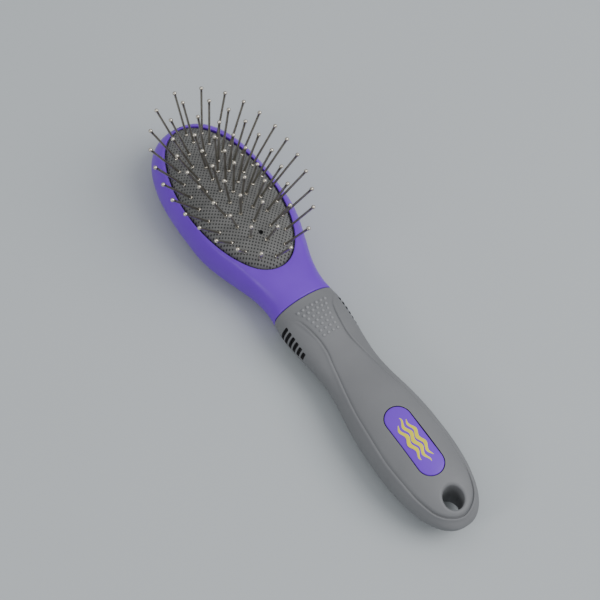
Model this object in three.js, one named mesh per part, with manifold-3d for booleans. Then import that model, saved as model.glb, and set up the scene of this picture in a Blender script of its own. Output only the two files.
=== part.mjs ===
// Pin brush for grooming pets: a moulded head and handle core, a soft over-moulded grip,
// a domed air cushion and 58 ball-tipped steel pins. Millimetres, +Z up (the way the pins
// point), +X from the head towards the handle's end, origin under the middle of the brush.
import * as THREE from 'three';
import { mergeVertices } from 'three/addons/utils/BufferGeometryUtils.js';
import Module from 'manifold-3d';

const wasm = await Module();
wasm.setup();

// ---- driving dimensions -------------------------------------------------------------
const LENGTH = 215;                 // whole brush
const HEAD_X = -62;                 // middle of the head
const HEAD_HALF_LENGTH = LENGTH / 2 + HEAD_X;
const HEAD_HALF_WIDTH = 24;
const WIDEST_Z = 12;                // height where head and handle are widest
const RIM_Z = 22;                   // top of the rim round the cushion
const SEAM_X = -6;                  // where the grip meets the neck
const GRIP_PEAK_X = 70;             // thickest place of the handle
const GRIP_HALF_WIDTH = 16.5;
const GRIP_TOP = 23.2;
const CLEARANCE = 0.3;              // gap between pieces that touch on the real brush

// [x, half width, top, bottom] between the middle of the head and the thickest place of the
// handle; the two ends are superellipses. Above the rim the head's section is cut off flat.
const HEAD_CROWN = 29;
const STATIONS = [
  [HEAD_X, HEAD_HALF_WIDTH, HEAD_CROWN, -0.6],
  [-49, 23.5, HEAD_CROWN, -0.6],
  [-39.5, 21.4, 28.4, -0.3],
  [-30, 18.2, 26.6, 0.6],
  [-21, 15.2, 24.2, 1.3],
  [-12.5, 13.9, 22.3, 1.7],
  [SEAM_X, 14.3, 21.5, 1.8],
  [2, 15.0, 22.2, 1.6],
  [11, 14.3, 21.9, 2.0],
  [20, 13.2, 20.6, 2.8],
  [29, 12.7, 20.1, 3.0],
  [38, 13.4, 20.6, 2.3],
  [49, 15.2, 21.8, 0.6],
  [60, 16.3, 22.8, -0.4],
  [GRIP_PEAK_X, GRIP_HALF_WIDTH, GRIP_TOP, -0.6],
];
const TOP_SQUARENESS = 2.1;
const UNDERSIDE_SQUARENESS = 2.3;
const NOSE_LENGTH = LENGTH / 2 - GRIP_PEAK_X;

const OPENING = { x: -62.7, halfLength: 40.5, halfWidth: 19.9 };
const GROOVE = { reach: 1.5, top: 20.3, bottom: 17.9 };
const BOWL = { inset: 2.4, floor: 3.2 };

const CUSHION = {
  gap: 0.6, base: 19.6, rise: 10.1, wall: 1.5, flange: 1.7, flangeTop: 19.9, flangeBottom: 18.3,
};
const VENT = { x: -37.7, y: -0.4, radius: 0.85 };

const PIN = { length: 21.7, wire: 0.48, ball: 0.88, head: 1.2, headTop: -2.0, headThickness: 0.5, hole: 0.85 };
const FAN = { x: -60.8, along: 0.0128, across: 0.0433 };   // how fast the pins lean outwards
const RINGS = [
  { name: 'outer_pin', count: 24, x: -61.5, halfLength: 35.1, halfWidth: 15.6 },
  { name: 'second_pin', count: 18, x: -62.3, halfLength: 28.3, halfWidth: 9.35 },
  { name: 'third_pin', count: 12, x: -62.5, halfLength: 19.1, halfWidth: 4.3 },
];
const CENTRE_ROW = { count: 4, x: -62.4, pitch: 5.95, stripWidth: 1.8 };

const TANG = { wall: 2.7, end: 101.5 };
const PLATE = { x: 70.4, halfSpan: 10.5, radius: 5.6, thickness: 1.5, proud: 0.25 };
const HANG_HOLE = { x: 96.8, halfLength: 4.55, halfWidth: 4.3, flare: 0.9, flareDepth: 1.8, lining: 1.7 };
const SLOTS = {
  count: 6, x: 1.4, pitch: 2.48, width: 1.65, middleZ: 13.9, depth: 1.9, lean: 0.27, longest: 7.2, shorten: 0.12,
};

const ROUND = 24;                   // points round a section of the body
const AROUND = 30;                  // points round the cushion and its seat
const HOLE_ROUND = 18;              // points round the hang hole

// ---- materials ----------------------------------------------------------------------
const finish = (color, roughness, metalness = 0) => new THREE.MeshStandardMaterial({ color, roughness, metalness });
const purplePlastic = () => finish('#5c4f9e', 0.35);
const greyRubber = () => finish('#7f8184', 0.75);
const meshRubber = () => finish('#7a7b7d', 0.85);
const pinSteel = () => finish('#6b655c', 0.3, 1);

// ---- solids -------------------------------------------------------------------------
function toManifold(geometry) {
  const bare = geometry.clone();
  bare.deleteAttribute('normal');
  bare.deleteAttribute('uv');
  const merged = mergeVertices(bare, 1e-4);
  return new wasm.Manifold(new wasm.Mesh({
    numProp: 3,
    vertProperties: new Float32Array(merged.attributes.position.array),
    triVerts: new Uint32Array(merged.index.array),
  }));
}

function toGeometry(solid) {
  const mesh = solid.getMesh();
  const geometry = new THREE.BufferGeometry();
  geometry.setAttribute('position', new THREE.BufferAttribute(new Float32Array(mesh.vertProperties), 3));
  geometry.setIndex(new THREE.BufferAttribute(new Uint32Array(mesh.triVerts), 1));
  geometry.computeVertexNormals();
  return geometry;
}

// Skin over a list of closed rings of equal length, closed at both ends.
function skin(rings) {
  const size = rings[0].length;
  const points = rings.flat();
  const index = [];
  for (let r = 0; r < rings.length - 1; r++) {
    for (let i = 0; i < size; i++) {
      const a = r * size + i;
      const b = r * size + (i + 1) % size;
      index.push(a, b, b + size, a, b + size, a + size);
    }
  }
  [0, rings.length - 1].forEach((r, side) => {
    const middle = new THREE.Vector3();
    rings[r].forEach(p => middle.add(p));
    const centre = points.push(middle.divideScalar(size)) - 1;
    for (let i = 0; i < size; i++) {
      const a = r * size + i;
      const b = r * size + (i + 1) % size;
      index.push(...(side === 0 ? [centre, b, a] : [centre, a, b]));
    }
  });
  const geometry = new THREE.BufferGeometry().setFromPoints(points);
  geometry.setIndex(index);
  return geometry;
}

// ---- the brush's own outline --------------------------------------------------------
const outlineCurve = (column) => new THREE.CatmullRomCurve3(
  STATIONS.map(s => new THREE.Vector3(s[0], s[column], 0)), false, 'catmullrom', 0.5);
const CURVES = [1, 2, 3].map(outlineCurve);

const superCap = (u, power, root) => Math.max(1 - Math.abs(u) ** power, 0) ** (1 / root);

// Half width, top and bottom at a place along the brush.
function outlineAt(x) {
  if (x < HEAD_X) {
    const u = (HEAD_X - x) / HEAD_HALF_LENGTH;
    return {
      half: HEAD_HALF_WIDTH * superCap(u, 2.5, 2.5),
      top: WIDEST_Z + (HEAD_CROWN - WIDEST_Z) * superCap(u, 2.5, 2.5),
      bottom: WIDEST_Z - (WIDEST_Z + 0.6) * superCap(u, 3, 3),
    };
  }
  if (x > GRIP_PEAK_X) {
    const u = (x - GRIP_PEAK_X) / NOSE_LENGTH;
    return {
      half: GRIP_HALF_WIDTH * superCap(u, 2.3, 2.3),
      top: WIDEST_Z + (GRIP_TOP - WIDEST_Z) * superCap(u, 2.5, 1.45),
      bottom: WIDEST_Z - (WIDEST_Z + 0.6) * superCap(u, 3, 1.7),
    };
  }
  let low = 0;
  let high = 1;
  for (let i = 0; i < 30; i++) {
    const t = (low + high) / 2;
    if (CURVES[0].getPoint(t).x < x) low = t; else high = t;
  }
  const [half, top, bottom] = CURVES.map(c => c.getPoint(low).y);
  return { half, top, bottom };
}

// One section: a superellipse, cut off flat at the rim's height and where it rests.
function section(x, shrink = 0, floor = 0) {
  const ceiling = x < SEAM_X ? RIM_Z : 2 * RIM_Z;
  const o = outlineAt(x);
  const half = Math.max(o.half - shrink, 0.05);
  const up = Math.max(o.top - WIDEST_Z - shrink, 0.05);
  const down = Math.max(WIDEST_Z - o.bottom - shrink, 0.05);
  const ring = [];
  for (let i = 0; i < ROUND; i++) {
    const angle = 2 * Math.PI * (i + 0.5) / ROUND;
    const c = Math.cos(angle);
    const s = Math.sin(angle);
    const power = 2 / (s > 0 ? TOP_SQUARENESS : UNDERSIDE_SQUARENESS);
    const y = half * Math.sign(c) * Math.abs(c) ** power;
    const z = WIDEST_Z + (s > 0 ? up : down) * Math.sign(s) * Math.abs(s) ** power;
    ring.push(new THREE.Vector3(x, y, Math.min(Math.max(z, floor), ceiling)));
  }
  return ring;
}

// Places along the brush, closer together towards a rounded end.
function places(from, to, count, roundStart, roundEnd) {
  const list = [];
  for (let i = 0; i <= count; i++) {
    const t = i / count;
    let s = t;
    if (roundStart) s = 1 - Math.cos(t * Math.PI / 2);
    if (roundEnd) s = Math.sin(t * Math.PI / 2);
    list.push(from + (to - from) * s);
  }
  return list;
}

const body = (list, shrink = 0, floor = 0) => toManifold(skin(list.map(x => section(x, shrink, floor))));

// Upright prism or cup with an elliptical plan: levels of [half length, half width, z].
function ellipticCup(x, levels, around = AROUND) {
  const rings = levels.map(([a, b, z]) => {
    const ring = [];
    for (let i = 0; i < around; i++) {
      const angle = 2 * Math.PI * i / around;
      ring.push(new THREE.Vector3(x + a * Math.cos(angle), b * Math.sin(angle), z));
    }
    return ring;
  });
  return toManifold(skin(rings));
}

// ---- the head, neck and handle core, one moulding -----------------------------------
const headPlaces = () => [
  ...places(-LENGTH / 2 + 0.02, HEAD_X, 9, true, false),
  ...places(HEAD_X, SEAM_X, 9, false, false).slice(1),
];

function tangPlaces() {
  return [SEAM_X - 6, ...places(SEAM_X + 0.5, GRIP_PEAK_X, 8, false, false),
    ...places(GRIP_PEAK_X, TANG.end, 4, false, true).slice(1)];
}

function cushionSeat() {
  const { x, halfLength: a, halfWidth: b } = OPENING;
  const wide = [a + GROOVE.reach, b + GROOVE.reach];
  const bowl = [a - BOWL.inset, b - BOWL.inset];
  const mouth = ellipticCup(x, [[a, b, GROOVE.top - 1], [a, b, RIM_Z + 8]]);
  const groove = ellipticCup(x, [[...wide, GROOVE.bottom], [...wide, GROOVE.top]]);
  const hollow = ellipticCup(x, [
    [bowl[0] * 0.72, bowl[1] * 0.6, BOWL.floor],
    [bowl[0] * 0.9, bowl[1] * 0.86, BOWL.floor + 3.4],
    [...bowl, BOWL.floor + 9],
    [...bowl, GROOVE.bottom + 1],
  ]);
  return mouth.add(groove).add(hollow);
}

const hangHole = (grow) => {
  const { x, halfLength: a, halfWidth: b } = HANG_HOLE;
  return ellipticCup(x, [[a + grow, b + grow, -5], [a + grow, b + grow, 30]], HOLE_ROUND);
};

function headShell() {
  const tang = body(tangPlaces(), TANG.wall + CLEARANCE, 2.4).subtract(hangHole(HANG_HOLE.lining + CLEARANCE));
  return body(headPlaces()).subtract(cushionSeat()).add(tang);
}

// ---- the soft grip ------------------------------------------------------------------
function stadium(grow, from, to) {
  const { x, halfSpan, radius } = PLATE;
  const shape = new THREE.Shape();
  shape.absarc(x + halfSpan, 0, radius + grow, -Math.PI / 2, Math.PI / 2, false);
  shape.absarc(x - halfSpan, 0, radius + grow, Math.PI / 2, Math.PI * 1.5, false);
  const block = new THREE.ExtrudeGeometry(shape, { depth: to - from, bevelEnabled: false, curveSegments: 8 });
  block.translate(0, 0, from);
  return toManifold(block);
}

function sideSlots() {
  const { count, pitch, width, middleZ, depth, lean: tilt, longest, shorten } = SLOTS;
  const reach = 6;
  let cuts = null;
  for (const side of [-1, 1]) {
    for (let i = 0; i < count; i++) {
      const x = SLOTS.x + i * pitch;
      const height = longest - shorten * i * i;
      const shape = new THREE.Shape();
      shape.absarc(0, (height - width) / 2, width / 2, 0, Math.PI, false);
      shape.absarc(0, -(height - width) / 2, width / 2, Math.PI, 2 * Math.PI, false);
      const bar = new THREE.ExtrudeGeometry(shape, { depth: reach, bevelEnabled: false, curveSegments: 3 });
      bar.rotateX(Math.PI / 2);
      bar.translate(0, side > 0 ? reach : 0, 0);
      bar.rotateX(side * tilt);
      bar.translate(x, side * (outlineAt(x).half - depth), middleZ);
      const cut = toManifold(bar);
      cuts = cuts ? cuts.add(cut) : cut;
    }
  }
  return cuts;
}

function gripSleeve() {
  const start = SEAM_X + CLEARANCE;
  const outside = body([
    ...places(start, GRIP_PEAK_X, 12, false, false),
    ...places(GRIP_PEAK_X, LENGTH / 2 - 0.02, 8, false, true).slice(1),
  ]);
  const socket = body([start - 3, ...tangPlaces().slice(1)], TANG.wall, 2.1)
    .subtract(hangHole(HANG_HOLE.lining));
  const { x, halfLength: a, halfWidth: b, flare, flareDepth } = HANG_HOLE;
  const top = outlineAt(x).top;
  const flared = ellipticCup(x, [[a, b, top - flareDepth], [a + flare, b + flare, top + 4]], HOLE_ROUND);
  const pocket = stadium(CLEARANCE, GRIP_TOP - PLATE.thickness - CLEARANCE, GRIP_TOP + 6);
  return outside.subtract(socket).subtract(hangHole(0)).subtract(flared).subtract(pocket).subtract(sideSlots());
}

// The oval plate follows the crown of the grip and stands a little above it.
function badgePlate() {
  const crown = body(places(PLATE.x - 20, PLATE.x + 20, 8, false, false), -PLATE.proud);
  return stadium(0, GRIP_TOP - PLATE.thickness, GRIP_TOP + 6).intersect(crown);
}

// ---- the air cushion ----------------------------------------------------------------
const DOME = {
  halfLength: OPENING.halfLength - CUSHION.gap,
  halfWidth: OPENING.halfWidth - CUSHION.gap,
};

function domeHeight(x, y) {
  const t = ((x - OPENING.x) / DOME.halfLength) ** 2 + (y / DOME.halfWidth) ** 2;
  return CUSHION.base + CUSHION.rise * Math.sqrt(Math.max(1 - t, 0));
}

function lean(x, y) {
  return new THREE.Vector3(FAN.along * (x - FAN.x), FAN.across * y, 1).normalize();
}

function membrane() {
  const { base, rise, wall, flange, flangeTop, flangeBottom } = CUSHION;
  const steps = [0.2, 0.42, 0.63, 0.82, 0.94, 1];
  const level = (k, out, z) => [DOME.halfLength * k + out, DOME.halfWidth * k + out, z];
  const arch = (k, height) => base + height * Math.sqrt(1 - k * k);
  const above = steps.map(k => level(k, 0, arch(k, rise)));
  const below = steps.map(k => level(k, -wall * k, arch(k, rise - wall)));
  const edge = [level(1, flange, flangeTop), level(1, flange, flangeBottom), level(1, -wall, flangeBottom)];
  above[above.length - 1][2] = flangeTop;
  const outerSkin = ellipticCup(OPENING.x, [edge[1], edge[0], ...above.reverse()]);
  const innerSkin = ellipticCup(OPENING.x, [level(1, -wall, flangeBottom - 1), ...below.reverse()]);
  return outerSkin.subtract(innerSkin);
}

function cushionPad() {
  let holes = boreAlong(VENT.x, VENT.y, VENT.radius);
  for (const p of allPins()) holes = holes.add(boreAlong(p.x, p.y, PIN.hole));
  return membrane().subtract(holes);
}

function boreAlong(x, y, radius) {
  const bar = new THREE.CylinderGeometry(radius, radius, 9, 6, 1);
  bar.rotateX(Math.PI / 2);
  bar.applyQuaternion(new THREE.Quaternion().setFromUnitVectors(new THREE.Vector3(0, 0, 1), lean(x, y)));
  bar.translate(x, y, domeHeight(x, y));
  return toManifold(bar);
}

// ---- the pins -----------------------------------------------------------------------
// Points at equal distances round an ellipse, starting on the long axis by the neck.
function ringPoints({ count, x, halfLength, halfWidth }) {
  const curve = new THREE.EllipseCurve(x, 0, halfLength, halfWidth, 0, 2 * Math.PI, false, 0);
  return curve.getSpacedPoints(count).slice(0, count);
}

function rowPoints() {
  const { count, x, pitch } = CENTRE_ROW;
  return Array.from({ length: count }, (_, i) => new THREE.Vector2(x + (i - (count - 1) / 2) * pitch, 0));
}

function allPins() {
  return [...RINGS.flatMap(ringPoints), ...rowPoints()];
}

// One pin about its own axis, with z = 0 where it leaves the cushion.
function pinGeometry() {
  const { length, wire, ball, head, headTop, headThickness } = PIN;
  const profile = [
    [0, headTop - headThickness], [head, headTop - headThickness], [head, headTop],
    [wire, headTop], [wire, length - ball], [ball, length - ball * 0.45],
    [ball, length + ball * 0.45], [0, length + ball],
  ];
  return new THREE.LatheGeometry(profile.map(([r, z]) => new THREE.Vector2(r, z)), 6).rotateX(Math.PI / 2);
}

function placePin(mesh, point) {
  mesh.position.set(point.x, point.y, domeHeight(point.x, point.y));
  mesh.quaternion.setFromUnitVectors(new THREE.Vector3(0, 0, 1), lean(point.x, point.y));
}

// The four middle pins share one narrow strip under the cushion.
function centrePins() {
  const points = rowPoints();
  const under = domeHeight(points[0].x, 0) + PIN.headTop - PIN.headThickness;
  const span = points[points.length - 1].x - points[0].x + 2 * PIN.head;
  const strip = new THREE.BoxGeometry(span, CENTRE_ROW.stripWidth, PIN.headThickness);
  strip.translate(CENTRE_ROW.x, 0, under);
  let solid = toManifold(strip);
  for (const point of points) {
    const pin = new THREE.Mesh(pinGeometry());
    placePin(pin, point);
    pin.updateMatrix();
    solid = solid.add(toManifold(pin.geometry.applyMatrix4(pin.matrix)));
  }
  return solid;
}

// ---- assembly -----------------------------------------------------------------------
const brush = new THREE.Group();

function addPiece(name, geometry, material) {
  const mesh = new THREE.Mesh(geometry, material);
  mesh.name = name;
  brush.add(mesh);
  return mesh;
}

addPiece('head_shell', toGeometry(headShell()), purplePlastic());
addPiece('grip_sleeve', toGeometry(gripSleeve()), greyRubber());
addPiece('badge_plate', toGeometry(badgePlate()), purplePlastic());
addPiece('cushion_pad', toGeometry(cushionPad()), meshRubber());
addPiece('centre_pins', toGeometry(centrePins()), pinSteel());
for (const ring of RINGS) {
  ringPoints(ring).forEach((point, i) => {
    const pin = addPiece(`${ring.name}_${String(i + 1).padStart(2, '0')}`, pinGeometry(), pinSteel());
    placePin(pin, point);
  });
}

export default brush;
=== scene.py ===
"""Looks for the pin brush: purple head, grey soft grip, air cushion and steel pins."""
import math
import random

import bmesh
import bpy
from mathutils import Matrix, Vector


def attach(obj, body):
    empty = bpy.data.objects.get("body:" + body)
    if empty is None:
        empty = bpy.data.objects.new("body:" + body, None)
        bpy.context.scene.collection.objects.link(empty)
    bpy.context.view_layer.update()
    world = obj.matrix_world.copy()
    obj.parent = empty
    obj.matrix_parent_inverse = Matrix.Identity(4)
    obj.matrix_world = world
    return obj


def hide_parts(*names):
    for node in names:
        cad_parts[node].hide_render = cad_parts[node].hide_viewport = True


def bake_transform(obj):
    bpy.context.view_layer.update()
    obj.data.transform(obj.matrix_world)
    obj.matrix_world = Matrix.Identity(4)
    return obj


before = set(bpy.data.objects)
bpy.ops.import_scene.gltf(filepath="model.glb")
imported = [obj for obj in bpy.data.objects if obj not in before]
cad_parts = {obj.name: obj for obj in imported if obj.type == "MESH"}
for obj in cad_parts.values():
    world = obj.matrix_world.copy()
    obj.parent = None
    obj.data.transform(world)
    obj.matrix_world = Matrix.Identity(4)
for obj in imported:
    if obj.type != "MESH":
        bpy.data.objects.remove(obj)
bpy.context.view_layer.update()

MM = 0.001                      # the shapes below are worked out in millimetres

# ---- the brush's main sizes, in mm --------------------------------------------------
LENGTH = 215.0
HEAD_X = -62.0
HEAD_HALF_LENGTH = LENGTH / 2 + HEAD_X
HEAD_HALF_WIDTH = 24.0
HEAD_CROWN = 29.0               # where the head's section would end without the opening
WIDEST_Z = 12.0
RIM_Z = 22.0
SEAM_X = -6.0
SEAM_GAP = 0.3
SEAM_ROUND = 0.45               # rounding of both edges at the seam
GRIP_PEAK_X = 70.0
GRIP_HALF_WIDTH = 16.5
GRIP_TOP = 23.2
GRIP_WALL = 2.7                 # thickness of the soft rubber over the handle's core
NOSE_LENGTH = LENGTH / 2 - GRIP_PEAK_X
TOP_SQUARENESS = 2.1
UNDERSIDE_SQUARENESS = 2.3

# x, half width, top, bottom
STATIONS = [
    (HEAD_X, HEAD_HALF_WIDTH, HEAD_CROWN, -0.6),
    (-49, 23.5, HEAD_CROWN, -0.6),
    (-39.5, 21.4, 28.4, -0.3),
    (-30, 18.2, 26.6, 0.6),
    (-21, 15.2, 24.2, 1.3),
    (-12.5, 13.9, 22.3, 1.7),
    (SEAM_X, 14.3, 21.5, 1.8),
    (2, 15.0, 22.2, 1.6),
    (11, 14.3, 21.9, 2.0),
    (20, 13.2, 20.6, 2.8),
    (29, 12.7, 20.1, 3.0),
    (38, 13.4, 20.6, 2.3),
    (49, 15.2, 21.8, 0.6),
    (60, 16.3, 22.8, -0.4),
    (GRIP_PEAK_X, GRIP_HALF_WIDTH, GRIP_TOP, -0.6),
]

OPENING_X, OPENING_A, OPENING_B = -62.7, 40.5, 19.9
CUSHION_GAP, CUSHION_BASE, CUSHION_RISE = 0.6, 19.6, 10.1
DOME_A, DOME_B = OPENING_A - CUSHION_GAP, OPENING_B - CUSHION_GAP
VENT_X, VENT_Y, VENT_RADIUS = -37.7, -0.4, 0.85

PIN_LENGTH, WIRE_RADIUS, BALL_RADIUS = 21.7, 0.52, 0.9
FAN_X, FAN_ALONG, FAN_ACROSS = -60.8, 0.0128, 0.0433   # how fast the pins lean outwards
LEAN_SPREAD, LEAN_SEED = 0.011, 7                       # how unevenly they lean
RINGS = {   # name: (count, middle x, half length, half width, body)
    "outer_pin": (24, -61.5, 35.1, 15.6, "outer_ring"),
    "second_pin": (18, -62.3, 28.3, 9.35, "second_ring"),
    "third_pin": (12, -62.5, 19.1, 4.3, "third_ring"),
}
CENTRE_COUNT, CENTRE_X, CENTRE_PITCH = 4, -62.4, 5.95

PLATE_X, PLATE_HALF_SPAN, PLATE_RADIUS, PLATE_PROUD = 70.4, 10.5, 5.6, 0.25
PLATE_POCKET_DEPTH = 1.5
HOLE_X, HOLE_A, HOLE_B = 96.8, 4.55, 4.3
SLOT_COUNT, SLOT_X, SLOT_PITCH, SLOT_WIDTH = 6, 1.4, 2.48, 1.65
SLOT_Z, SLOT_DEPTH, SLOT_LONGEST, SLOT_STEP = 13.9, 1.3, 7.2, 0.12

# x and half width of the S-shaped groove round the grip's panel, and of the crease outside it
PANEL = [(SEAM_X, 14.6), (-3, 12.6), (-0.8, 10.8), (2.3, 8.3), (4.4, 7.5), (7, 6.85), (9.8, 6.35),
         (12.4, 6.0), (16, 5.7), (20, 5.9), (25, 6.9), (30.7, 8.0), (36.4, 9.2), (42, 10.3), (48, 11.4),
         (59, 12.6), (66, 13.2), (72, 13.5), (77, 13.3), (81, 13.0), (86, 12.5), (90, 11.8), (94, 10.7),
         (97.4, 9.4), (99.7, 7.9), (101.6, 6.0), (103.2, 3.4), (103.8, 1.7), (104.1, 0)]
CREASE = [(-3, 12.7), (1.3, 11.1), (5.3, 10.2), (9.9, 8.8), (15, 7.3), (21, 6.0)]
PANEL_LIFT = 0.16                # how far the panel stands above the grip round it
BUMP_ROWS = [(7, 6.55), (6, 5.4), (5, 4.7), (5, 4.1), (4, 3.7), (4, 3.4), (4, 3.3)]
BUMP_X, BUMP_PITCH, BUMP_RADIUS, BUMP_HEIGHT = -0.5, 2.3, 0.72, 0.68


# ---- curves -------------------------------------------------------------------------
def along(table, x, column):
    """Smooth curve through a table's rows, by its first column."""
    last = len(table) - 1
    if x <= table[0][0]:
        return table[0][column]
    if x >= table[last][0]:
        return table[last][column]
    i = max(k for k in range(last) if table[k][0] <= x)

    def slope(k):
        a, b = table[max(k - 1, 0)], table[min(k + 1, last)]
        return (b[column] - a[column]) / (b[0] - a[0])

    step = table[i + 1][0] - table[i][0]
    t = (x - table[i][0]) / step
    a, b = table[i][column], table[i + 1][column]
    return ((2 * t**3 - 3 * t**2 + 1) * a + (t**3 - 2 * t**2 + t) * step * slope(i)
            + (3 * t**2 - 2 * t**3) * b + (t**3 - t**2) * step * slope(i + 1))


def cap(u, power, root):
    """Height of a superellipse, 1 at u = 0 and 0 at u = 1."""
    return max(1 - abs(u) ** power, 0) ** (1 / root)


def smoothstep(low, high, value):
    t = min(max((value - low) / (high - low), 0), 1)
    return t * t * (3 - 2 * t)


def outline(x):
    """Half width, top and bottom of the brush at x."""
    if x < HEAD_X:
        u = (HEAD_X - x) / HEAD_HALF_LENGTH
        return (HEAD_HALF_WIDTH * cap(u, 2.5, 2.5),
                WIDEST_Z + (HEAD_CROWN - WIDEST_Z) * cap(u, 2.5, 2.5),
                WIDEST_Z - (WIDEST_Z + 0.6) * cap(u, 3, 3))
    if x > GRIP_PEAK_X:
        u = (x - GRIP_PEAK_X) / NOSE_LENGTH
        return (GRIP_HALF_WIDTH * cap(u, 2.3, 2.3),
                WIDEST_Z + (GRIP_TOP - WIDEST_Z) * cap(u, 2.5, 1.45),
                WIDEST_Z - (WIDEST_Z + 0.6) * cap(u, 3, 1.7))
    return tuple(along(STATIONS, x, column) for column in (1, 2, 3))


def soft_min(a, b, blend):
    """The smaller of two values, with the corner between them rounded."""
    h = min(max(0.5 + 0.5 * (b - a) / blend, 0), 1)
    return b + (a - b) * h - blend * h * (1 - h)


def edge_round(distance, radius):
    """How far a rounded edge has fallen at a distance from it."""
    if distance >= radius:
        return 0.0
    return radius - math.sqrt(max(radius**2 - (radius - distance) ** 2, 0))


def spaced(start, end, count, ease_end=False):
    """Values from start to end, closer together towards the end if that is rounded."""
    values = []
    for i in range(count + 1):
        t = i / count
        if ease_end:
            t = math.sin(t * math.pi / 2)
        values.append(start + (end - start) * t)
    return values


def dome_height(x, y):
    """Height of the cushion's top."""
    t = ((x - OPENING_X) / DOME_A) ** 2 + (y / DOME_B) ** 2
    return CUSHION_BASE + CUSHION_RISE * math.sqrt(max(1 - t, 0))


# ---- mesh helpers -------------------------------------------------------------------
def make_object(name, verts, faces, materials, smooth_angle=40):
    mesh = bpy.data.meshes.new(name)
    mesh.from_pydata([Vector(v) * MM for v in verts], [], faces)
    mesh.update()
    obj = bpy.data.objects.new(name, mesh)
    bpy.context.scene.collection.objects.link(obj)
    for material in materials:
        mesh.materials.append(material)
    shade(obj, smooth_angle)
    return obj


def shade(obj, angle):
    mesh = obj.data
    mesh.polygons.foreach_set("use_smooth", [True] * len(mesh.polygons))
    if angle is not None:
        mesh.set_sharp_from_angle(angle=math.radians(angle))


def tidy_mesh(obj, distance=1e-6):
    bm = bmesh.new()
    bm.from_mesh(obj.data)
    bmesh.ops.remove_doubles(bm, verts=bm.verts, dist=distance)
    bmesh.ops.dissolve_degenerate(bm, edges=bm.edges, dist=distance)
    bmesh.ops.recalc_face_normals(bm, faces=bm.faces)
    if bm.calc_volume(signed=True) < 0:
        bmesh.ops.reverse_faces(bm, faces=bm.faces)
    bm.to_mesh(obj.data)
    bm.free()


def skin(rings, close_start=True, close_end=True):
    """Vertices and faces over closed rings of equal length."""
    size = len(rings[0])
    verts = [p for ring in rings for p in ring]
    faces = []
    for r in range(len(rings) - 1):
        for i in range(size):
            j = (i + 1) % size
            faces.append((r * size + i, r * size + j, (r + 1) * size + j, (r + 1) * size + i))
    for closed, r, turn in ((close_start, 0, True), (close_end, len(rings) - 1, False)):
        if not closed:
            continue
        middle = [sum(p[k] for p in rings[r]) / size for k in range(3)]
        verts.append(middle)
        centre = len(verts) - 1
        for i in range(size):
            j = (i + 1) % size
            a, b = r * size + i, r * size + j
            faces.append((centre, b, a) if turn else (centre, a, b))
    return verts, faces


def cut(obj, cutter, angle=35):
    """Takes the cutter away from obj, with the cutter's material in the cut."""
    modifier = obj.modifiers.new("cut", "BOOLEAN")
    modifier.operation = "DIFFERENCE"
    modifier.solver = "MANIFOLD"
    modifier.object = cutter
    modifier.material_mode = "TRANSFER"
    graph = bpy.context.evaluated_depsgraph_get()
    mesh = bpy.data.meshes.new_from_object(obj.evaluated_get(graph))
    obj.modifiers.clear()
    obj.data = mesh
    bpy.data.objects.remove(cutter)
    shade(obj, angle)


def join(name, objects):
    bm = bmesh.new()
    for obj in objects:
        bm.from_mesh(obj.data)
    mesh = bpy.data.meshes.new(name)
    bm.to_mesh(mesh)
    bm.free()
    for material in objects[0].data.materials:
        mesh.materials.append(material)
    for obj in objects:
        bpy.data.objects.remove(obj)
    joined = bpy.data.objects.new(name, mesh)
    bpy.context.scene.collection.objects.link(joined)
    return joined


# ---- materials ----------------------------------------------------------------------
def srgb(r, g, b):
    def linear(c):
        c /= 255
        return c / 12.92 if c <= 0.04045 else ((c + 0.055) / 1.055) ** 2.4
    return (linear(r), linear(g), linear(b), 1.0)


class Nodes:
    """Short hand for building one material's node tree."""

    def __init__(self, name):
        self.material = bpy.data.materials.new(name)
        self.material.use_nodes = True
        self.tree = self.material.node_tree
        self.shader = self.tree.nodes["Principled BSDF"]

    def add(self, kind, inputs=None, **settings):
        node = self.tree.nodes.new(kind)
        for key, value in settings.items():
            setattr(node, key, value)
        for key, value in (inputs or {}).items():
            if isinstance(value, bpy.types.NodeSocket):
                self.tree.links.new(value, node.inputs[key])
            else:
                node.inputs[key].default_value = value
        return node

    def place(self):
        return self.add("ShaderNodeTexCoord").outputs["Object"]

    def noise(self, scale, detail=3.0, roughness=0.5):
        node = self.add("ShaderNodeTexNoise", {"Vector": self.place(), "Scale": scale,
                                               "Detail": detail, "Roughness": roughness})
        return node.outputs["Fac"]

    def math(self, operation, a, b=0.0):
        return self.add("ShaderNodeMath", {0: a, 1: b}, operation=operation).outputs[0]

    def ramp(self, value, low, high, out_low, out_high):
        node = self.add("ShaderNodeMapRange", {"Value": value, "From Min": low, "From Max": high,
                                               "To Min": out_low, "To Max": out_high})
        return node.outputs["Result"]

    def mix(self, factor, a, b):
        node = self.add("ShaderNodeMix", {"Factor": factor, 6: a, 7: b}, data_type="RGBA")
        return node.outputs[2]

    def bump(self, height, distance, strength=1.0):
        node = self.add("ShaderNodeBump", {"Height": height, "Distance": distance, "Strength": strength})
        return node.outputs["Normal"]

    def set(self, **sockets):
        for key, value in sockets.items():
            socket = self.shader.inputs[key.replace("_", " ")]
            if isinstance(value, bpy.types.NodeSocket):
                self.tree.links.new(value, socket)
            else:
                socket.default_value = value


def moulded_plastic(name, colour, deep, roughness):
    n = Nodes(name)
    cloud = n.noise(28, 3)
    flow = n.noise(120, 2)
    n.set(Base_Color=n.mix(n.ramp(cloud, 0.35, 0.65, 0, 1), deep, colour),
          Roughness=n.ramp(flow, 0.3, 0.7, roughness - 0.04, roughness + 0.05),
          Normal=n.bump(n.noise(1700, 2), 0.00002, 0.35),
          Specular_IOR_Level=0.25)
    return n.material


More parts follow.
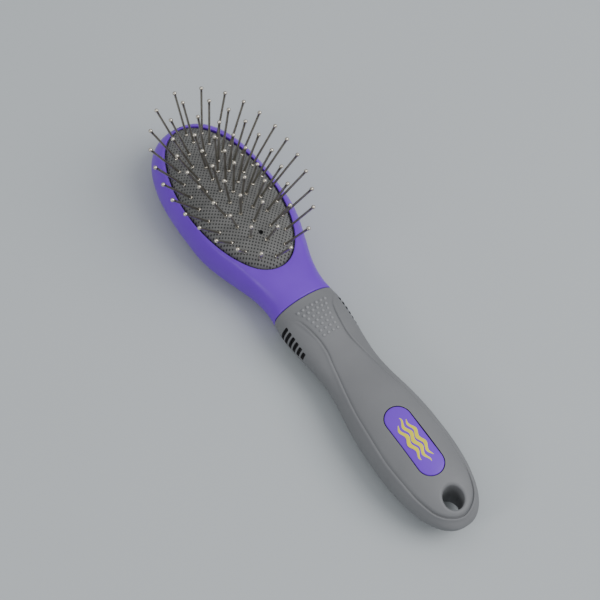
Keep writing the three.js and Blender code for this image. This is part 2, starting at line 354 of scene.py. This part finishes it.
def soft_rubber(name, colour, deep):
    n = Nodes(name)
    cloud = n.noise(35, 4)
    grain = n.noise(2600, 2, 0.6)
    n.set(Base_Color=n.mix(n.ramp(cloud, 0.3, 0.7, 0, 1), deep, colour),
          Roughness=n.ramp(n.noise(160, 3), 0.3, 0.7, 0.52, 0.64),
          Normal=n.bump(grain, 0.00003, 0.5),
          Specular_IOR_Level=0.42)
    return n.material


# Near-black material that paints shade into gaps, grooves and holes.
def painted_shade_recess(name, colour, deep):
    n = Nodes(name)
    n.set(Base_Color=n.mix(n.noise(300, 2), deep, colour),
          Roughness=0.85, Normal=n.bump(n.noise(1500, 2), 0.00003, 0.4))
    return n.material


WEAVE_PITCH = 1.28              # mm between the cushion's dots
WEAVE_TURN = -45                # degrees from the brush's length


def woven_rubber(name):
    """Grey rubber sheet faced with a fine open weave, whose holes are dark."""
    n = Nodes(name)
    turned = n.add("ShaderNodeMapping", {"Vector": n.place(),
                                         "Rotation": (0, 0, math.radians(WEAVE_TURN))})
    parts = n.add("ShaderNodeSeparateXYZ", {"Vector": turned.outputs[0]})
    rate = 2 * math.pi / (WEAVE_PITCH * MM)
    wave = [n.math("COSINE", n.math("MULTIPLY", parts.outputs[k], rate)) for k in (0, 1)]
    both = n.math("ADD", wave[0], wave[1])
    uneven = n.math("ADD", both, n.ramp(n.noise(900, 2), 0.3, 0.7, -0.35, 0.35))
    hole = n.ramp(uneven, 0.45, 1.25, 0, 1)
    yarn = n.mix(n.ramp(n.noise(60, 3), 0.3, 0.7, 0, 1), srgb(102, 102, 100), srgb(119, 119, 117))
    n.set(Base_Color=n.mix(hole, yarn, srgb(53, 53, 53)),
          Roughness=n.ramp(hole, 0, 1, 0.72, 0.9),
          Normal=n.bump(n.math("SUBTRACT", 1.0, hole), 0.00016, 0.7),
          Specular_IOR_Level=0.35)
    return n.material


def pin_wire(name):
    n = Nodes(name)
    n.set(Base_Color=n.mix(n.noise(700, 3), srgb(152, 147, 138), srgb(182, 177, 168)),
          Metallic=1.0, Roughness=n.ramp(n.noise(1400, 2), 0.3, 0.7, 0.26, 0.4),
          Normal=n.bump(n.noise(3000, 2), 0.00001, 0.3))
    return n.material


def bright_steel(name):
    n = Nodes(name)
    n.set(Base_Color=n.mix(n.noise(900, 2), srgb(196, 188, 172), srgb(222, 215, 202)),
          Metallic=1.0, Roughness=n.ramp(n.noise(1200, 2), 0.3, 0.7, 0.12, 0.22),
          Normal=n.bump(n.noise(2500, 2), 0.00001, 0.2))
    return n.material


def print_ink(name, colour):
    n = Nodes(name)
    n.set(Base_Color=n.mix(n.noise(500, 3), colour, srgb(216, 202, 28)),
          Roughness=n.ramp(n.noise(900, 2), 0.3, 0.7, 0.38, 0.5),
          Normal=n.bump(n.noise(2200, 2), 0.00002, 0.4))
    return n.material


def table_top(name):
    n = Nodes(name)
    n.set(Base_Color=n.mix(n.noise(6, 3), srgb(180, 185, 187), srgb(184, 189, 191)),
          Roughness=0.75, Normal=n.bump(n.noise(900, 2), 0.00003, 0.2), Specular_IOR_Level=0.3)
    return n.material


PURPLE = moulded_plastic("purple_plastic", srgb(119, 63, 206), srgb(112, 57, 197), 0.34)
PLATE_PURPLE = moulded_plastic("plate_plastic", srgb(118, 62, 208), srgb(112, 57, 200), 0.34)
RUBBER = soft_rubber("grip_rubber", srgb(121, 122, 124), srgb(114, 115, 117))
# painted highlight: the bumps are the grip's rubber, made lighter to stand in for the light on their caps
BUMP_RUBBER_PAINTED_HIGHLIGHT = soft_rubber("bump_rubber_painted_highlight", srgb(146, 147, 149), srgb(138, 139, 141))
# painted shade: near-black for the groove under the rim, the gap round the plate and the cushion's vent
PAINTED_SHADE = painted_shade_recess("painted_shade_recess", srgb(30, 30, 33), srgb(20, 20, 22))
# painted shade: the slots' walls and floors are the grip's grey rubber, painted dark grey for the shade
# inside them
SLOT_PAINTED_SHADE = painted_shade_recess("slot_painted_shade", srgb(58, 58, 61), srgb(46, 46, 49))
WEAVE = woven_rubber("woven_rubber")
WIRE = pin_wire("pin_wire")
BRIGHT = bright_steel("bright_steel")
YELLOW = print_ink("yellow_ink", srgb(236, 224, 40))


# ---- head ---------------------------------------------------------------------------
# share of the bowl's plan and height, from its middle up to the groove
BOWL = [(0.0, 4.0), (0.45, 4.0), (0.8, 4.6), (0.95, 6.5), (1.0, 10.0), (1.0, 17.4)]
BOWL_INSET = 2.0
GROOVE_REACH = 1.4
LIP_Z = 20.3                     # underside of the rim, over the groove
RIM_ROUND, RIM_SPREAD = 0.5, 1.6
RIM_ROWS, TOP_ROWS, BACK_ROWS = 12, 18, 24
HEAD_SHARP = 42                  # degrees from which an edge of the head is a sharp one


def head_height(x, y, upper):
    """Height of the head's outside above or below its widest line."""
    half, top, bottom = outline(x)
    shrink = edge_round(SEAM_X - x, SEAM_ROUND)
    half = max(half - shrink, 1e-3)
    side = min(abs(y) / half, 1)
    if upper:
        rise = (top - WIDEST_Z - shrink) * cap(side, TOP_SQUARENESS, TOP_SQUARENESS)
        neck = smoothstep(-34, -20, x)      # from the flat rim to the slightly domed neck
        level = RIM_Z + neck * (0.3 - 2.6 * side**2)
        blend = 1.1 + 1.2 * neck * smoothstep(-8, -15, x)
        return soft_min(WIDEST_Z + rise, level, blend)
    drop = (WIDEST_Z - bottom - shrink) * cap(side, UNDERSIDE_SQUARENESS, UNDERSIDE_SQUARENESS)
    return -soft_min(-(WIDEST_Z - drop), 0.0, 0.5)


def head_outline():
    """Points round the widest line of head and neck, anticlockwise from the seam."""
    step = 1.15
    side = []
    xs = spaced(SEAM_X, HEAD_X, 60) + spaced(HEAD_X, -LENGTH / 2, 90, True)[1:]
    for x in xs:
        side.append((x, outline(x)[0] - edge_round(SEAM_X - x, SEAM_ROUND)))
    half_loop = [side[0]]
    for p in side[1:]:
        if math.dist(p, half_loop[-1]) >= step or p is side[-1]:
            half_loop.append(p)
    end = [(SEAM_X, half_loop[0][1] * k / 12) for k in range(12)]
    upper = end + half_loop
    lower = [(x, -y) for x, y in reversed(upper[1:-1])]
    return upper + lower


def on_opening(point, a=OPENING_A, b=OPENING_B):
    angle = math.atan2(point[1] / b, (point[0] - OPENING_X) / a)
    return (OPENING_X + a * math.cos(angle), b * math.sin(angle))


def build_head():
    """Head and neck in one skin: bowl, groove for the cushion's flange, rim, outside, underside."""
    loop = head_outline()
    rings = []
    for scale, z in BOWL:
        a, b = max((OPENING_A - BOWL_INSET) * scale, 0.01), max((OPENING_B - BOWL_INSET) * scale, 0.01)
        rings.append([(*on_opening(p, a, b), z) for p in loop])
    for out, z in ((GROOVE_REACH, 17.5), (GROOVE_REACH, 20.2), (0.0, LIP_Z)):
        rings.append([(*on_opening(p, OPENING_A + out, OPENING_B + out), z) for p in loop])
    for i in range(1, RIM_ROWS + TOP_ROWS + 1):
        ring = []
        for p in loop:
            e = on_opening(p)
            reach = math.dist(p, e)
            if i <= RIM_ROWS:
                travel = RIM_ROUND * (1 - math.cos(i / RIM_ROWS * math.pi / 2)) * RIM_SPREAD
                travel = min(travel, reach * 0.5)
            else:
                start = min(RIM_ROUND * RIM_SPREAD, reach * 0.5)
                travel = start + (reach - start) * math.sin((i - RIM_ROWS) / TOP_ROWS * math.pi / 2)
            f = travel / reach
            x, y = e[0] + (p[0] - e[0]) * f, e[1] + (p[1] - e[1]) * f
            z = head_height(x, y, True) - edge_round(travel, RIM_ROUND)
            ring.append((x, y, max(z, LIP_Z) if i < RIM_ROWS else z))
        rings.append(ring)
    for i in range(BACK_ROWS + 1):
        f = math.cos(i / BACK_ROWS * math.pi / 2) if i < BACK_ROWS else 0.0
        ring = []
        for p in loop:
            x, y = OPENING_X + (p[0] - OPENING_X) * f, p[1] * f
            ring.append((x, y, head_height(x, y, False)))
        rings.append(ring)
    head = make_object("head_moulding", *skin(rings), [PURPLE, PAINTED_SHADE], HEAD_SHARP)
    # painted shade: the groove under the rim gets the near-black material, for the shade in the gap round the
    # cushion
    for polygon in head.data.polygons:
        if len(BOWL) <= polygon.index // len(loop) + 1 <= len(BOWL) + 2:
            polygon.material_index = 1      # the groove under the rim
    tidy_mesh(head, 2e-6)
    shade(head, HEAD_SHARP)
    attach(head, "root")
    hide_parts("head_shell")


# ---- grip ---------------------------------------------------------------------------
NOSE_START = 88.0                # from here the grip's rows fan out round its end
NOSE_POLE = 95.0
ACROSS_OUTSIDE, ACROSS_GROOVE, ACROSS_PANEL, ACROSS_BELOW = 20, 22, 12, 26
GRIP_SHARP = 50                  # degrees from which an edge of the grip is a sharp one
# rounded mouth of the hang hole: how much wider, at which height above the panel
HOLE_MOUTH = [(0.0, -1.5), (0.05, -1.1), (0.17, -0.76), (0.38, -0.46), (0.68, -0.23), (1.0, -0.09),
              (1.35, 0.02), (1.6, 0.09), (1.6, 4.0)]


def panel_strength(x):
    """How boldly the panel and its groove are modelled at x."""
    return smoothstep(-4.5, 7, x) * (0.75 + 0.25 * smoothstep(28, 16, x) + 0.8 * smoothstep(80, 98, x))


def groove_lift(inside, x, y):
    """Groove along the S-shaped line with a soft ridge outside it; inside is the distance from it."""
    lift = PANEL_LIFT * smoothstep(0.1, 1.1, inside) - 0.4 * math.exp(-(inside / 0.27) ** 2)
    lift += (0.24 + 0.06 * smoothstep(85, 100, x)) * math.exp(-((inside + 0.85) / 0.5) ** 2)
    if CREASE[0][0] < x < CREASE[-1][0]:
        outside = abs(y) - along(CREASE, x, 1)
        shown = smoothstep(CREASE[0][0], 2, x) * smoothstep(CREASE[-1][0], 12, x)
        ridge = 0.07 * math.exp(-(outside / 0.4) ** 2)
        valley = 0.06 * math.exp(-((outside + 0.9) / 0.6) ** 2)
        lift += shown * (ridge - valley)
    return panel_strength(x) * lift


def grip_rows():
    """Where each row of the grip's skin starts on the spine and ends on the silhouette."""
    start = SEAM_X + SEAM_GAP
    xs = [start, start + 0.06, start + 0.16, start + 0.3] + spaced(start + 0.45, NOSE_START, 190)
    rows = [((x, 0.0), (x, outline(x)[0])) for x in xs]
    first = math.asin(((NOSE_START - GRIP_PEAK_X) / NOSE_LENGTH) ** (2.3 / 2))
    for i in range(1, 65):
        angle = first + (math.pi / 2 - first) * i / 64
        x = GRIP_PEAK_X + NOSE_LENGTH * math.sin(angle) ** (2 / 2.3)
        y = GRIP_HALF_WIDTH * max(math.cos(angle), 0) ** (2 / 2.3)
        pole = NOSE_START + (NOSE_POLE - NOSE_START) * math.sin(i / 64 * math.pi / 2)
        rows.append(((pole, 0.0), (x, y if i < 64 else 0.0)))
    return rows


def groove_crossing(spine, edge):
    """How far along a row, from spine to silhouette, the S-shaped line crosses it."""
    low, high = 0.0, 1.0
    for _ in range(40):
        t = (low + high) / 2
        x = spine[0] + (edge[0] - spine[0]) * t
        y = edge[1] * t
        if x < PANEL[-1][0] and y < along(PANEL, x, 1):
            low = t
        else:
            high = t
    return min(low, 0.955)


def grip_row(spine, edge, shrink):
    """One row of the grip's skin as a closed ring of points."""
    reach = math.dist(spine, edge)
    cross = groove_crossing(spine, edge)
    x = spine[0] + (edge[0] - spine[0]) * cross
    step = 0.05
    slope = (along(PANEL, x, 1) - along(PANEL, x - step, 1)) / step
    normal = Vector((-slope, 1)).normalized()
    heading = Vector((edge[0] - spine[0], edge[1])).normalized()
    square = max(normal.dot(heading), 0.2)
    inner = 1.6                 # the fine rows reach this far to both sides of the groove
    out = min(inner, (1 - cross) * reach * 0.7)
    turn = math.acos((cross + out / reach) ** (TOP_SQUARENESS / 2))
    places = [math.cos(turn * i / ACROSS_OUTSIDE) ** (2 / TOP_SQUARENESS) for i in range(ACROSS_OUTSIDE)]
    places += [cross + (out - (out + inner) * i / ACROSS_GROOVE) / reach for i in range(ACROSS_GROOVE)]
    places += [(cross - inner / reach) * (1 - i / ACROSS_PANEL) for i in range(ACROSS_PANEL)]

    def point(f, side, upper):
        x = spine[0] + (edge[0] - spine[0]) * f
        y = edge[1] * f
        half, top, bottom = outline(x)
        half, scale = max(half, 1e-3), max(1 - shrink / max(half, 1), 0)
        ratio = min(y / half, 1)
        if upper:
            z = WIDEST_Z + (top - WIDEST_Z - shrink) * cap(ratio, TOP_SQUARENESS, TOP_SQUARENESS)
            z += groove_lift((cross - f) * reach * square, x, y)
        else:
            drop = (WIDEST_Z - bottom - shrink) * cap(ratio, UNDERSIDE_SQUARENESS, UNDERSIDE_SQUARENESS)
            z = -soft_min(drop - WIDEST_Z, 0.0, 0.4)
        return (x, side * y * scale, z)

    below = [math.cos(math.pi / 2 * i / ACROSS_BELOW) ** (2 / UNDERSIDE_SQUARENESS)
             for i in range(ACROSS_BELOW - 1, 0, -1)]
    ring = [point(f, 1, True) for f in places] + [point(0, 1, True)]
    ring += [point(f, -1, True) for f in reversed(places)]
    ring += [point(f, -1, False) for f in reversed(below)] + [point(0, 1, False)]
    ring += [point(f, 1, False) for f in below]
    return ring


def grip_section(x, around, shrink):
    """Plain section of the grip, moved inwards."""
    half, top, bottom = outline(x)
    ring = []
    for i in range(around):
        angle = 2 * math.pi * i / around
        c, s = math.cos(angle), math.sin(angle)
        power = 2 / (TOP_SQUARENESS if s > 0 else UNDERSIDE_SQUARENESS)
        height = (top - WIDEST_Z if s > 0 else WIDEST_Z - bottom) - shrink
        ring.append((x, (half - shrink) * math.copysign(abs(c) ** power, c),
                     WIDEST_Z + height * math.copysign(abs(s) ** power, s)))
    return ring


def grip_top(x, y):
    half, top, _ = outline(x)
    return WIDEST_Z + (top - WIDEST_Z) * cap(min(abs(y) / half, 1), TOP_SQUARENESS, TOP_SQUARENESS)


def hole_cutter(levels, material):
    """Closed cutter from levels of (half length, half width, height above the panel or None, z)."""
    around = 72
    rings = []
    for a, b, above, z in levels:
        ring = []
        for i in range(around):
            angle = 2 * math.pi * i / around
            x, y = HOLE_X + a * math.cos(angle), b * math.sin(angle)
            surface = grip_top(x, y) + PANEL_LIFT * panel_strength(x)
            ring.append((x, y, surface + above if above is not None else z))
        rings.append(ring)
    return make_object("hole_cutter", *skin(rings), [material])


def stadium_loop(grow):
    """Outline of the plate, made larger by grow."""
    arc = 24
    radius = PLATE_RADIUS + grow
    loop = []
    for side, start in ((1, -math.pi / 2), (-1, math.pi / 2)):
        for i in range(arc + 1):
            angle = start + math.pi * i / arc
            x = PLATE_X + side * PLATE_HALF_SPAN + radius * math.cos(angle)
            loop.append((x, radius * math.sin(angle)))
    return loop


def side_reach(x, z):
    """Half width of the grip at a height."""
    half, top, bottom = outline(x)
    if z > WIDEST_Z:
        return half * cap((z - WIDEST_Z) / (top - WIDEST_Z), TOP_SQUARENESS, TOP_SQUARENESS)
    return half * cap((WIDEST_Z - z) / (WIDEST_Z - bottom), UNDERSIDE_SQUARENESS, UNDERSIDE_SQUARENESS)


def slot_cutter(side, index):
    """Cutter for one slot, with rounded corners and a floor that follows the grip's side; the cut takes a
    dark grey that is painted shade.
    """
    x = SLOT_X + index * SLOT_PITCH
    height = SLOT_LONGEST - SLOT_STEP * index**2
    corner = 0.5
    profile = []
    for sx, sz, start in ((1, 1, 0), (-1, 1, 90), (-1, -1, 180), (1, -1, 270)):
        for i in range(5):
            angle = math.radians(start + 90 * i / 4)
            profile.append((sx * (SLOT_WIDTH / 2 - corner) + corner * math.cos(angle),
                            sz * (height / 2 - corner) + corner * math.sin(angle)))
    rings = []
    for depth in (-SLOT_DEPTH, 4):
        rings.append([(x + px, side * (side_reach(x, SLOT_Z + pz) + depth), SLOT_Z + pz)
                      for px, pz in profile])
    cutter = make_object("slot_cutter", *skin(rings), [SLOT_PAINTED_SHADE])
    tidy_mesh(cutter)
    return cutter


def build_grip():
    """Soft grip with its hang hole, the pocket for the plate and the slots cut out of it."""
    start = SEAM_X + SEAM_GAP
    rings = [grip_row(spine, edge, edge_round(spine[0] - start, SEAM_ROUND)) for spine, edge in grip_rows()]
    inner = [grip_section(x, len(rings[0]), GRIP_WALL) for x in (start, 20, 45, 70, 86)]
    shell = skin(list(reversed(inner)) + rings, True, False)
    grip = make_object("soft_grip", *shell, [RUBBER, PAINTED_SHADE], GRIP_SHARP)
    tidy_mesh(grip)
    levels = [(HOLE_A + 1, HOLE_B + 1, None, -3), (HOLE_A, HOLE_B, None, 2.5)]
    levels += [(HOLE_A + grow, HOLE_B + grow, above, None) for grow, above in HOLE_MOUTH]
    hole = hole_cutter(levels, RUBBER)
    tidy_mesh(hole)
    cut(grip, hole, GRIP_SHARP)
    # The pocket's walls take the near-black material: painted shade in the thin gap round the plate.
    pocket_rings = []
    for dz in (-PLATE_POCKET_DEPTH, 4):
        pocket_rings.append([(x, y, grip_top(x, y) + dz - 0.1) for x, y in stadium_loop(0.32)])
    pocket = make_object("pocket_cutter", *skin(pocket_rings), [PAINTED_SHADE])
    tidy_mesh(pocket)
    cut(grip, pocket, GRIP_SHARP)
    slots = join("slots_cutter", [slot_cutter(side, i) for side in (-1, 1) for i in range(SLOT_COUNT)])
    cut(grip, slots, GRIP_SHARP)
    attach(grip, "root")
    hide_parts("grip_sleeve")


def build_bumps():
    """Small domes where the thumb rests."""
    domes = []
    for row, (count, reach) in enumerate(BUMP_ROWS):
        x = BUMP_X + row * BUMP_PITCH
        for k in range(count):
            y = reach * (2 * k / (count - 1) - 1) + 0.05
            z = grip_top(x, y) + 0.12
            rings = []
            for i in range(7):
                angle = math.pi / 2 * i / 6
                r = BUMP_RADIUS * math.cos(angle) + 0.002
                rings.append([(x + r * math.cos(2 * math.pi * j / 16), y + r * math.sin(2 * math.pi * j / 16),
                               z - 0.1 + BUMP_HEIGHT * math.sin(angle)) for j in range(16)])
            rings.insert(0, [(px, py, pz - 0.4) for px, py, pz in rings[0]])
            # the bumps' lighter rubber is painted highlight
            domes.append(make_object("dome", *skin(rings), [BUMP_RUBBER_PAINTED_HIGHLIGHT], None))
    bumps = join("thumb_bumps", domes)
    shade(bumps, None)
    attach(bumps, "root")


def build_core():
    """The part of the head moulding that runs inside the grip."""
    xs = [SEAM_X - 1.5, SEAM_X] + spaced(SEAM_X + 1, 84, 30)
    inset = GRIP_WALL + SEAM_GAP
    core = make_object("handle_core", *skin([grip_section(x, 48, inset) for x in xs]), [PURPLE], 50)
    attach(core, "root")


# ---- plate --------------------------------------------------------------------------
def build_plate():
    """Oval plate with a rounded edge, which follows the crown of the grip."""
    edge = 0.35
    rings = [[(x, y, grip_top(x, y) - 1.3) for x, y in stadium_loop(0)]]
    for i in range(6):
        angle = math.pi / 2 * i / 5
        out, down = -edge * (1 - math.cos(angle)), -edge * (1 - math.sin(angle))
        rings.append([(x, y, grip_top(x, y) + PLATE_PROUD + down) for x, y in stadium_loop(out)])
    for k in range(1, 11):
        f = 1 - k / 10
        ring = []
        for x, y in stadium_loop(-edge):
            px, py = PLATE_X + (x - PLATE_X) * (0.35 + 0.65 * f), y * f
            ring.append((px, py, grip_top(px, py) + PLATE_PROUD))
        rings.append(ring)
    plate = make_object("grip_plate", *skin(rings, True, False), [PLATE_PURPLE], 50)
    tidy_mesh(plate)
    shade(plate, 50)
    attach(plate, "root")
    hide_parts("badge_plate")


def build_motif():
    """Three plain wavy strands printed on the plate."""
    strands = []
    for k, (offset, length) in enumerate(((-2.3, 8.2), (0.0, 10.6), (2.3, 8.8))):
        rows = []
        count = 60
        for i in range(count + 1):
            t = i / count
            x = PLATE_X - length + 2 * length * t
            y = offset + 0.6 * math.sin(x * 0.95 + k * 0.5)
            width = 0.85 * math.sin(math.pi * min(max(t, 0.02), 0.98)) ** 0.5
            rows.append((x, y, width))
        verts, faces = [], []
        for x, y, width in rows:
            for side, lift in ((-1, 0.0), (-0.8, 0.045), (0.8, 0.045), (1, 0.0)):
                py = y + side * width
                verts.append((x, py, grip_top(x, py) + PLATE_PROUD + 0.005 + lift))
        for i in range(count):
            for j in range(3):
                a = i * 4 + j
                faces.append((a, a + 4, a + 5, a + 1))
        strands.append(make_object("strand", verts, faces, [YELLOW], None))
    motif = join("printed_strands", strands)
    shade(motif, None)
    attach(motif, "root")


# ---- cushion ------------------------------------------------------------------------
def build_cushion():
    """Domed rubber sheet with a flange under the rim and a small vent hole."""
    around = 180
    wall, flange = 1.4, 1.3
    flange_bottom, flange_top = 18.4, 19.7
    rings = []

    def ring(k, out, z):
        loop = []
        for i in range(around):
            angle = 2 * math.pi * i / around
            loop.append((OPENING_X + (DOME_A * k + out) * math.cos(angle),
                         (DOME_B * k + out) * math.sin(angle), z))
        return loop

    steps = [math.sin(i / 40 * math.pi / 2) for i in range(1, 41)]
    for k in steps:
        rings.append(ring(k, -wall * k, CUSHION_BASE + (CUSHION_RISE - wall) * math.sqrt(max(1 - k * k, 0))))
    for out, z in ((-wall, flange_bottom), (flange, flange_bottom), (flange, flange_top),
                   (0.25, flange_top + 0.05)):
        rings.append(ring(1, out, z))
    for k in reversed(steps):
        rings.append(ring(k, 0, CUSHION_BASE + 0.15 + (CUSHION_RISE - 0.15) * math.sqrt(max(1 - k * k, 0))))
    pad = make_object("air_cushion", *skin(rings), [WEAVE, PAINTED_SHADE], 60)
    tidy_mesh(pad)
    vent_z = dome_height(VENT_X, VENT_Y)
    vent = [[(VENT_X + r * math.cos(2 * math.pi * i / 24), VENT_Y + r * math.sin(2 * math.pi * i / 24), z)
             for i in range(24)] for r, z in ((VENT_RADIUS, vent_z - 1.1), (VENT_RADIUS, vent_z - 0.1),
                                              (VENT_RADIUS + 0.25, vent_z + 0.25),
                                              (VENT_RADIUS + 0.3, vent_z + 1.5))]
    # The vent's wall takes the near-black material: painted shade inside the hole.
    cutter = make_object("vent_cutter", *skin(vent), [PAINTED_SHADE])
    cut(pad, cutter, 60)
    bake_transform(pad)
    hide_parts("cushion_pad")


# ---- pins ---------------------------------------------------------------------------
def ellipse_points(count, x, a, b):
    """Points at equal distances round an ellipse, from the end by the neck."""
    fine = 2000
    loop = [(x + a * math.cos(2 * math.pi * i / fine), b * math.sin(2 * math.pi * i / fine))
            for i in range(fine + 1)]
    total = [0.0]
    for p, q in zip(loop, loop[1:]):
        total.append(total[-1] + math.dist(p, q))
    points, k = [], 0
    for i in range(count):
        goal = total[-1] * i / count
        while total[k + 1] < goal:
            k += 1
        points.append(loop[k])
    return points


def pin_mesh(name):
    """One pin along Z, with z = 0 where it leaves the cushion."""
    profile = [(1.2, -2.5), (1.25, -2.4), (1.2, -2.0), (WIRE_RADIUS, -1.9), (WIRE_RADIUS, 0.0)]
    profile += [(0.62, 0.02), (0.8, 0.14), (0.84, 0.32), (0.78, 0.5), (0.6, 0.62), (WIRE_RADIUS, 0.68)]
    collar = (4, 10)            # first and last row of the profile's bright collar
    wire_top = PIN_LENGTH - BALL_RADIUS * 0.87
    profile += [(WIRE_RADIUS, z) for z in spaced(1.2, wire_top, 10)]
    ball_start = len(profile) - 1
    for i in range(1, 12):
        angle = -math.pi / 3 + (math.pi / 2 + math.pi / 3) * i / 12
        profile.append((BALL_RADIUS * math.cos(angle), PIN_LENGTH + BALL_RADIUS * math.sin(angle)))
    around = 14
    rings = [[(r * math.cos(2 * math.pi * j / around), r * math.sin(2 * math.pi * j / around), z)
              for j in range(around)] for r, z in profile]
    obj = make_object(name, *skin(rings), [WIRE, BRIGHT], 50)
    for polygon in obj.data.polygons:
        row = polygon.index // around
        on_collar = collar[0] <= row < collar[1]
        on_ball = ball_start <= row < len(profile) - 1
        on_tip = polygon.center.z > (PIN_LENGTH + BALL_RADIUS * 0.7) * MM
        if on_collar or on_ball or on_tip:
            polygon.material_index = 1
    mesh = obj.data
    bpy.data.objects.remove(obj)
    return mesh


def lean(x, y, chance):
    """The way a pin points, a little different from pin to pin."""
    return Vector((FAN_ALONG * (x - FAN_X) + chance.gauss(0, LEAN_SPREAD),
                   FAN_ACROSS * y + chance.gauss(0, LEAN_SPREAD), 1)).normalized()


def place_pin(name, mesh, point, chance, body, *nodes):
    pin = bpy.data.objects.new(name, mesh)
    bpy.context.scene.collection.objects.link(pin)
    x, y = point
    turn = Vector((0, 0, 1)).rotation_difference(lean(x, y, chance))
    pin.matrix_world = Matrix.Translation(Vector((x, y, dome_height(x, y))) * MM) @ turn.to_matrix().to_4x4()
    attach(pin, body)
    if nodes:
        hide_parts(*nodes)


def build_pins():
    mesh = pin_mesh("pin")
    chance = random.Random(LEAN_SEED)
    for name, (count, x, a, b, body) in RINGS.items():
        for i, point in enumerate(ellipse_points(count, x, a, b)):
            node = f"{name}_{i + 1:02d}"
            place_pin(f"wire_{node}", mesh, point, chance, body, node)
    for i in range(CENTRE_COUNT):
        point = (CENTRE_X + (i - (CENTRE_COUNT - 1) / 2) * CENTRE_PITCH, 0.0)
        place_pin(f"wire_centre_pin_{i + 1:02d}", mesh, point, chance, "centre_row", "centre_pins")


# ---- setting ------------------------------------------------------------------------
def build_floor():
    bpy.ops.mesh.primitive_plane_add(size=6, location=(0, 0, -0.0002))
    floor = bpy.context.object
    floor.name = "table"
    floor.data.materials.append(table_top("table_top"))


def area_light(name, place, size, power):
    """Round lamp that faces the brush."""
    data = bpy.data.lights.new(name, "AREA")
    data.shape = "DISK"
    data.size = size
    data.energy = power
    light = bpy.data.objects.new(name, data)
    bpy.context.scene.collection.objects.link(light)
    light.location = place
    light.rotation_euler = (-Vector(place)).to_track_quat("-Z", "Y").to_euler()


def build_lights():
    area_light("key", (0.62, 0.72, 1.15), 1.1, 14.0)
    area_light("side", (0.0, -1.15, 0.72), 0.3, 2.4)
    world = bpy.data.worlds.new("studio")
    bpy.context.scene.world = world
    world.use_nodes = True
    tree = world.node_tree
    place = tree.nodes.new("ShaderNodeTexCoord")
    parts = tree.nodes.new("ShaderNodeSeparateXYZ")
    height = tree.nodes.new("ShaderNodeMapRange")
    for key, value in (("From Min", -0.1), ("From Max", 1.0), ("To Min", 0.06), ("To Max", 0.97)):
        height.inputs[key].default_value = value
    tree.links.new(place.outputs["Generated"], parts.inputs[0])
    tree.links.new(parts.outputs[2], height.inputs["Value"])
    background = tree.nodes["Background"]
    background.inputs[0].default_value = (0.94, 0.96, 1.0, 1)
    tree.links.new(height.outputs["Result"], background.inputs[1])


def build_camera():
    azimuth, elevation, roll = math.radians(50.07), math.radians(62.0), math.radians(6.54)
    distance = 0.5637
    target = Vector((-0.0019, -0.0053, 0.0296))
    back = Vector((math.sin(azimuth) * math.cos(elevation), -math.cos(azimuth) * math.cos(elevation),
                   math.sin(elevation)))
    right = (-back).cross(Vector((0, 0, 1))).normalized()
    up = right.cross(-back)
    tilted_right = math.cos(roll) * right + math.sin(roll) * up
    tilted_up = -math.sin(roll) * right + math.cos(roll) * up
    data = bpy.data.cameras.new("camera")
    data.sensor_width = 36.0
    data.lens = 1400 / 600 * data.sensor_width
    camera = bpy.data.objects.new("camera", data)
    bpy.context.scene.collection.objects.link(camera)
    axes = Matrix((tilted_right, tilted_up, back)).transposed().to_4x4()
    camera.matrix_world = Matrix.Translation(target + back * distance) @ axes
    bpy.context.scene.camera = camera


build_camera()
build_floor()
build_lights()
build_head()
build_core()
build_grip()
build_bumps()
build_plate()
build_motif()
build_cushion()
build_pins()
